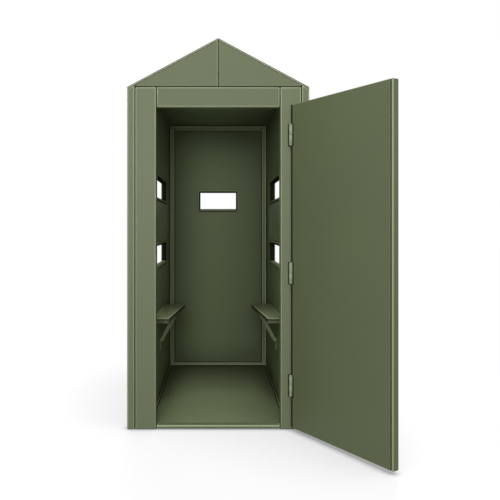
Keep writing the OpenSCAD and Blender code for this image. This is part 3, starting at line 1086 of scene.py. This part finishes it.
# %% Helper for hinge pads
pad_thickness = 0.8 * mm
leaf_pad_width = 11 * mm


def hinge_shade_pads(place):
    """Black pads that stand in for the shade round a hinge: one on the post's face and one on the leaf's,
    from below the seat to above the knuckle.
    """
    seat_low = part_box(place + "_hinge_seat")[0]
    bottom = seat_low.z - 6 * mm
    top = shut_box(place + "_hinge_knuckle")[1].z + 3 * mm
    bm = bmesh.new()
    on_post = upright_rectangle(seat_low.x - 6 * mm, hinge_place.x + 4 * mm, bottom, top)
    add_prism(bm, on_post, front_y - pad_thickness, front_y)
    make_piece(place + "_post_pad", bm, "booth", "seal_rubber")
    bm = bmesh.new()
    edge = leaf_high.x - 1 * mm
    on_leaf = upright_rectangle(edge - leaf_pad_width, edge, bottom, top)
    add_prism(bm, on_leaf, leaf_high.y, leaf_high.y + pad_thickness)
    bm.transform(opened)
    make_piece(place + "_leaf_pad", bm, "door", "seal_rubber")

# %% Turn the hinges
hinge_places = ("top", "middle", "bottom")
running_gap = 0.3 * mm
for place in hinge_places:
    knuckle_low = shut_box(place + "_hinge_knuckle")[0]
    hinge_seat(place + "_hinge_seat", knuckle_low.z - running_gap)
    hinge_knuckle(place + "_hinge_knuckle")
    hinge_shade_pads(place)
print("hinges:", len(hinge_places))

# %% [markdown]
# ## Geometry Nodes for what follows a line
# Sealant and weld beads follow edges, so each is drawn as a bare path of mesh edges and a node tree
# gives it its body. Sealant is one smooth tube. A weld seam is a row of overlapping drops, each a
# little different, and a tack is a single drop. The sizes are named inputs of the tree, and what
# comes out is made real geometry, because an export drops instances.

# %% Tree for sealant beads
def start_tree(name, sizes):
    tree = bpy.data.node_groups.new(name, "GeometryNodeTree")
    tree.interface.new_socket("Geometry", in_out="INPUT", socket_type="NodeSocketGeometry")
    for label, kind in sizes:
        tree.interface.new_socket(label, in_out="INPUT", socket_type=kind)
    tree.interface.new_socket("Geometry", in_out="OUTPUT", socket_type="NodeSocketGeometry")
    return tree, add_node(tree, "NodeGroupInput").outputs


def end_tree(tree, geometry, material):
    real = add_node(tree, "GeometryNodeRealizeInstances", {0: geometry})
    smooth = add_node(tree, "GeometryNodeSetShadeSmooth", {0: real.outputs[0]}).outputs[0]
    painted = add_node(tree, "GeometryNodeSetMaterial", {"Geometry": smooth, "Material": material})
    add_node(tree, "NodeGroupOutput", {0: painted.outputs[0]})
    return tree


bead_sizes = (("Radius", "NodeSocketFloat"), ("Paint", "NodeSocketMaterial"))


def bead_tree():
    tree, given = start_tree("sealant_bead", bead_sizes)
    path = add_node(tree, "GeometryNodeMeshToCurve", {0: given["Geometry"]}).outputs[0]
    ring = add_node(tree, "GeometryNodeCurvePrimitiveCircle",
                    {"Resolution": 10, "Radius": given["Radius"]}).outputs[0]
    tube = add_node(tree, "GeometryNodeCurveToMesh",
                    {"Curve": path, "Profile Curve": ring, "Fill Caps": True}).outputs[0]
    return end_tree(tree, tube, given["Paint"])


print("tree:", bead_tree().name)

# %% Trees for weld drops
tack_sizes = (("Radius", "NodeSocketFloat"), ("Seed", "NodeSocketInt"), ("Paint", "NodeSocketMaterial"))
weld_sizes = tack_sizes + (("Pitch", "NodeSocketFloat"),)


def drops_on(tree, points, given, turned=None):
    """Puts a flattened drop of its own size on each point, turned along the seam if there is one."""
    ball = add_node(tree, "GeometryNodeMeshIcoSphere",
                    {"Radius": given["Radius"], "Subdivisions": 2}).outputs[0]
    flat = add_node(tree, "GeometryNodeTransform", {"Geometry": ball, "Scale": (0.8, 1.0, 0.7)})
    size = add_node(tree, "FunctionNodeRandomValue", {2: 0.8, 3: 1.15, "Seed": given["Seed"]},
                    data_type="FLOAT")
    inputs = {"Points": points, "Instance": flat.outputs[0], "Scale": size.outputs[1]}
    if turned:
        inputs["Rotation"] = turned
    return add_node(tree, "GeometryNodeInstanceOnPoints", inputs).outputs[0]


def weld_tree():
    tree, given = start_tree("weld_seam", weld_sizes)
    path = add_node(tree, "GeometryNodeMeshToCurve", {0: given["Geometry"]}).outputs[0]
    spaced = add_node(tree, "GeometryNodeResampleCurve", {"Curve": path, "Length": given["Pitch"]},
                      mode="LENGTH").outputs[0]
    along = add_node(tree, "GeometryNodeInputTangent").outputs[0]
    turned = add_node(tree, "FunctionNodeAlignRotationToVector", {"Vector": along}, axis="X").outputs[0]
    return end_tree(tree, drops_on(tree, spaced, given, turned), given["Paint"])


def tack_tree():
    tree, given = start_tree("weld_tack", tack_sizes)
    return end_tree(tree, drops_on(tree, given["Geometry"], given), given["Paint"])


print("trees:", [weld_tree().name, tack_tree().name])

# %% [markdown]
# ## Running a tree
# A tree works through a modifier, and a modifier knows its inputs by an identifier, not by the label
# that a person reads. So the labels are looked up first, and all inputs are set before the object is
# evaluated. The result is then copied out as a plain mesh and the modifier is taken away.

# %% Helper to run a tree along paths
def run_tree(name, tree_name, paths, body, slot, **sizes):
    """Draws each path as mesh edges, gives it its body with a tree, and keeps the plain result."""
    points = [p for path in paths for p in path]
    edges, start = [], 0
    for path in paths:
        edges += [(start + i, start + i + 1) for i in range(len(path) - 1)]
        start += len(path)
    mesh = bpy.data.meshes.new(name + "_path")
    mesh.from_pydata(points, edges, [])
    piece = bpy.data.objects.new(name, mesh)
    bpy.context.scene.collection.objects.link(piece)
    grown = piece.modifiers.new(name, "NODES")
    grown.node_group = bpy.data.node_groups[tree_name]
    values = dict(sizes, Paint=paints[slot])
    for socket in grown.node_group.interface.items_tree:
        if socket.in_out == "INPUT" and socket.name in values:
            grown[socket.identifier] = values[socket.name]
    depsgraph = bpy.context.evaluated_depsgraph_get()
    real = bpy.data.meshes.new_from_object(piece.evaluated_get(depsgraph), depsgraph=depsgraph)
    piece.modifiers.clear()
    piece.data = real
    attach(piece, body)
    print(name + ":", len(paths), "paths,", len(real.polygons), "faces")

# %% [markdown]
# ## Sealant in the room
# Where an angle lies on a panel, and round each slot frame, a thin bead of black sealant closes the
# joint on each side, and its black stands in for the shadow line along the joint. The paths come
# from the boxes of the angles and the frames.

# %% Run the sealant
trim_low, trim_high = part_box("corner_trims")
over_low, over_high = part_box("ceiling_trim")
under_low, under_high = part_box("floor_trim")
leg = trim_high.y - trim_low.y
floor_leg = under_high.z - under_low.z


def round_the_room(side_reach, rear_reach, z):
    """A path along the left, rear and right sides, at a distance from the walls."""
    x, y = trim_high.x - side_reach, trim_high.y - rear_reach
    return [(-x, over_low.y, z), (-x, y, z), (x, y, z), (x, over_low.y, z)]


def round_the_rim(node):
    """Paths round a slot frame's rim, on both faces of its wall."""
    low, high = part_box(node)
    thin, wide = wall_axes(low, high)
    paths = []
    for depth in (low[thin] + rim_thickness, high[thin] - rim_thickness):
        loop = []
        for a, z in ((0, 0), (1, 0), (1, 1), (0, 1), (0, 0)):
            point = Vector((0, 0, (low.z, high.z)[z]))
            point[thin] = depth
            point[wide] = (low[wide], high[wide])[a]
            loop.append(tuple(point))
        paths.append(loop)
    return paths


side_leg = trim_low.z - under_low.z
sealed = [round_the_room(side_leg, leg, over_high.z), round_the_room(side_leg, floor_leg, under_low.z)]
for side in (-1, 1):
    for z in (trim_low.z, trim_high.z):
        sealed.append([(side * trim_high.x, over_low.y, z), (side * trim_high.x, trim_high.y, z)])
for z in (over_low.z, under_high.z):
    sealed.append([(-trim_high.x, trim_high.y, z), (trim_high.x, trim_high.y, z)])
for side in (-1, 1):
    for x, y in ((trim_high.x - leg, trim_high.y), (trim_high.x, trim_low.y)):
        sealed.append([(side * x, y, trim_low.z), (side * x, y, trim_high.z)])
run_tree("room_shadow_sealant", "sealant_bead", sealed, "booth", "seal_rubber", Radius=5.5 * mm)
rims = [path for node in slot_frames for path in round_the_rim(node)]
run_tree("slot_shadow_sealant", "sealant_bead", rims, "booth", "seal_rubber", Radius=3.0 * mm)

# %% [markdown]
# ## Welds
# Tacks hold the angles at the room's rear corners and the rear slot's frame at its own, and short
# seams hold the hinge lugs to the post and the leaf. All are sprayed over, so they take the paints
# that are mixed already.

# %% Tack the corners and the rear slot
tack_standoff = 8 * mm
tacks = []
for side in (-1, 1):
    for z in (under_high.z, over_low.z):
        for reach in (5 * mm, leg - 4 * mm):
            tacks.append([(side * (trim_high.x - reach), trim_high.y - tack_standoff, z)])
run_tree("corner_tacks", "weld_tack", tacks, "booth", "hinge_paint", Radius=7 * mm, Seed=4)

low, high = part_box("rear_slot_frame")
rim_tacks = [[(x, low.y, z)] for x in (low.x + 10 * mm, high.x - 10 * mm)
             for z in (low.z + 8 * mm, high.z - 8 * mm)]
run_tree("rim_tacks", "weld_tack", rim_tacks, "booth", "hinge_paint", Radius=4 * mm, Seed=7)

# %% Weld the hinges
seam_end = 4 * mm
seams_on_post, seams_on_leaf = [], []
for place in hinge_places:
    seat_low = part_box(place + "_hinge_seat")[0]
    knuckle_low, knuckle_high = shut_box(place + "_hinge_knuckle")
    x = hinge_place.x - lug_reach
    seams_on_post.append([(x, front_y, seat_low.z + seam_end), (x, front_y, knuckle_low.z - seam_end)])
    for y in (-half_lug, half_lug):
        ends = [(knuckle_low.x, y, z) for z in (knuckle_low.z + seam_end, knuckle_high.z - seam_end)]
        seams_on_leaf.append([tuple(opened @ Vector(end)) for end in ends])
run_tree("post_hinge_welds", "weld_seam", seams_on_post, "booth", "frame_paint",
         Radius=2.6 * mm, Pitch=2.4 * mm, Seed=11)
run_tree("leaf_hinge_welds", "weld_seam", seams_on_leaf, "door", "door_paint",
         Radius=2.0 * mm, Pitch=2.0 * mm, Seed=12)
